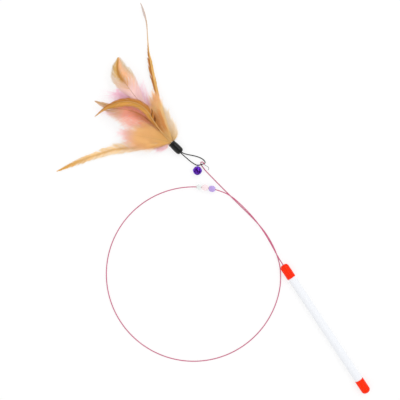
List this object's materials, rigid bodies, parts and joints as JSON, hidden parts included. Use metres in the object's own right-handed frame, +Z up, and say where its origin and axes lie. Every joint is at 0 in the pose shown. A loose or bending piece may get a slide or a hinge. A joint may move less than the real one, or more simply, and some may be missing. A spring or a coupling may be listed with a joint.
{
  "type": "cat teaser wand",
  "caption": "Cat teaser wand: a white tube handle with red caps, a looped pink wire with clear beads, a jingle bell and a feather lure on a black cord.",
  "frame": {"origin": "on the handle's axis, in the middle of the rear cap's straight wall", "axes": "+Y along the handle from the rear cap to the lure, +Z up from the floor it lies on"},
  "size_m": [0.2286, 0.5315, 0.021],
  "materials": {
    "tube_white": "smooth extruded white plastic tube",
    "cap_red": "glossy soft orange-red plastic",
    "wire_coating_pink": "pink plastic coating over spring wire",
    "bare_steel": "bare drawn steel",
    "bead_lilac": "clear lilac moulded plastic",
    "bead_pink": "pale pink translucent moulded plastic",
    "bead_clear": "clear moulded plastic",
    "cord_black": "black waxed round cord",
    "bell_purple": "metallic purple lacquer on thin sheet",
    "end_cap_black": "glossy black moulded plastic",
    "glue_amber": "set glue",
    "feather_gold_brown": "dyed feather vane, golden brown",
    "feather_gold": "dyed feather vane, gold",
    "feather_peach_brown": "dyed feather vane, peach and brown",
    "feather_salmon": "dyed feather vane, salmon with a tan tip",
    "down_gold": "soft gold down",
    "down_cream": "soft cream down",
    "down_pink": "soft pale pink down",
    "down_rose": "soft rose down",
    "down_peach": "soft peach down"
  },
  "bodies": {
    "wand": {"handle_tube": "tube_white", "front_cap": "cap_red", "rear_cap": "cap_red", "wand_wire": "wire_coating_pink", "wire_tail": "bare_steel", "wire_stop": "bare_steel"},
    "purple_slider": {"purple_bead": "bead_lilac"},
    "pink_slider": {"pink_bead": "bead_pink"},
    "clear_slider": {"clear_bead": "bead_clear"},
    "lanyard": {"lanyard_cord": "cord_black"},
    "bell": {"bell_crown": "bell_purple", "bell_cup": "bell_purple", "bell_ear": "bell_purple"},
    "pellet": {"bell_pellet": "bare_steel"},
    "lure": {"end_cap": "end_cap_black", "lanyard_knot": "cord_black", "quill_glue": "glue_amber", "arched_feather": "feather_gold_brown", "gold_down": "down_gold", "long_feather": "feather_gold", "cream_down": "down_cream", "pink_down": "down_pink", "low_feather": "feather_gold", "rose_down": "down_rose", "peach_down": "down_peach", "broad_feather": "feather_peach_brown", "salmon_feather": "feather_salmon"}
  },
  "joints": [
    {"name": "purple_bead_slide", "type": "hinge", "parent": "wand", "child": "purple_slider", "pos_m": [-0.09395, 0.2177, -0.00291], "axis": [-0.0118, -0.0131, 0.9998], "range_deg": [-3, 86]},
    {"name": "pink_bead_slide", "type": "hinge", "parent": "purple_slider", "child": "pink_slider", "pos_m": [-0.09395, 0.2177, -0.00291], "axis": [-0.0118, -0.0131, 0.9998], "range_deg": [0, 86]},
    {"name": "clear_bead_slide", "type": "hinge", "parent": "pink_slider", "child": "clear_slider", "pos_m": [-0.09395, 0.2177, -0.00291], "axis": [-0.0118, -0.0131, 0.9998], "range_deg": [0, 86]},
    {"name": "lanyard_swing", "type": "hinge", "parent": "wand", "child": "lanyard", "pos_m": [-0.0135, 0.323, -0.00262], "axis": [0, 0, 1], "range_deg": [-40, 20]},
    {"name": "bell_swing", "type": "hinge", "parent": "lanyard", "child": "bell", "pos_m": [-0.0192, 0.3217, -0.00272], "axis": [-0.7828, 0.6222, 0], "range_deg": [0, 85]},
    {"name": "pellet_roll", "type": "hinge", "parent": "bell", "child": "pellet", "pos_m": [-0.02286, 0.3171, -0.00007], "axis": [-0.7828, 0.6222, 0], "range_deg": [-60, 60]},
    {"name": "lure_nod", "type": "hinge", "parent": "lanyard", "child": "lure", "pos_m": [-0.027, 0.3455, -0.00057], "axis": [0.977, 0.213, 0], "range_deg": [0, 45]}
  ]
}
